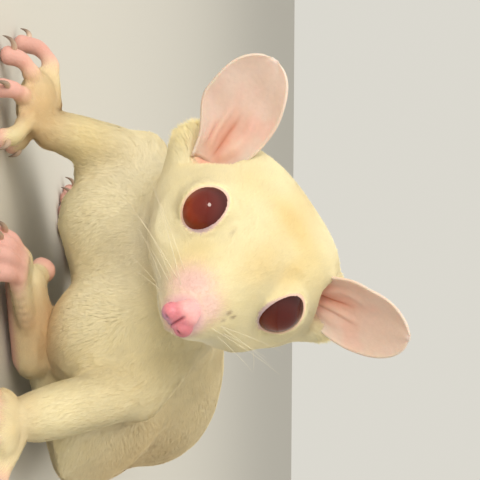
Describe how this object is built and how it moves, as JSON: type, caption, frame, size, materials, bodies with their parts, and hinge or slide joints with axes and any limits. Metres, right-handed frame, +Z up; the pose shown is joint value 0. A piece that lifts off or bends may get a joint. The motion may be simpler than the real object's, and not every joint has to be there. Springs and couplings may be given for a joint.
{
  "type": "sugar glider",
  "caption": "Life-size still model of an albino sugar glider crouching with spread hands and its head turned and tilted to one side, as shown in a museum.",
  "frame": {"origin": "centre of the footprint's bounding box, on the floor", "axes": "+Z up from the floor, the chest faces -Y and the tail leaves towards +Y, +X is the animal's left"},
  "size_m": [0.1302, 0.2362, 0.0725],
  "materials": {
    "coat": "short plush fur",
    "skin": "bare satin skin",
    "ear": "thin soft skin",
    "nose": "moist skin",
    "eye": "wet gloss"
  },
  "bodies": {
    "root": {"head": "coat", "eye_right": "eye", "eye_left": "eye", "nose": "nose", "ear_right": "ear", "ear_left": "ear", "neck": "coat", "chest": "coat", "belly": "coat", "hips": "coat", "tail_root": "coat", "tail_middle": "coat", "tail_tip": "coat", "upper_arm_right": "coat", "upper_arm_left": "coat", "forearm_right": "coat", "forearm_left": "coat", "thigh_right": "coat", "thigh_left": "coat", "shank_right": "coat", "shank_left": "coat", "hand_right": "skin", "hand_left": "skin", "foot_left": "skin", "foot_right": "skin", "membrane_left": "coat", "membrane_right": "coat"}
  },
  "joints": []
}
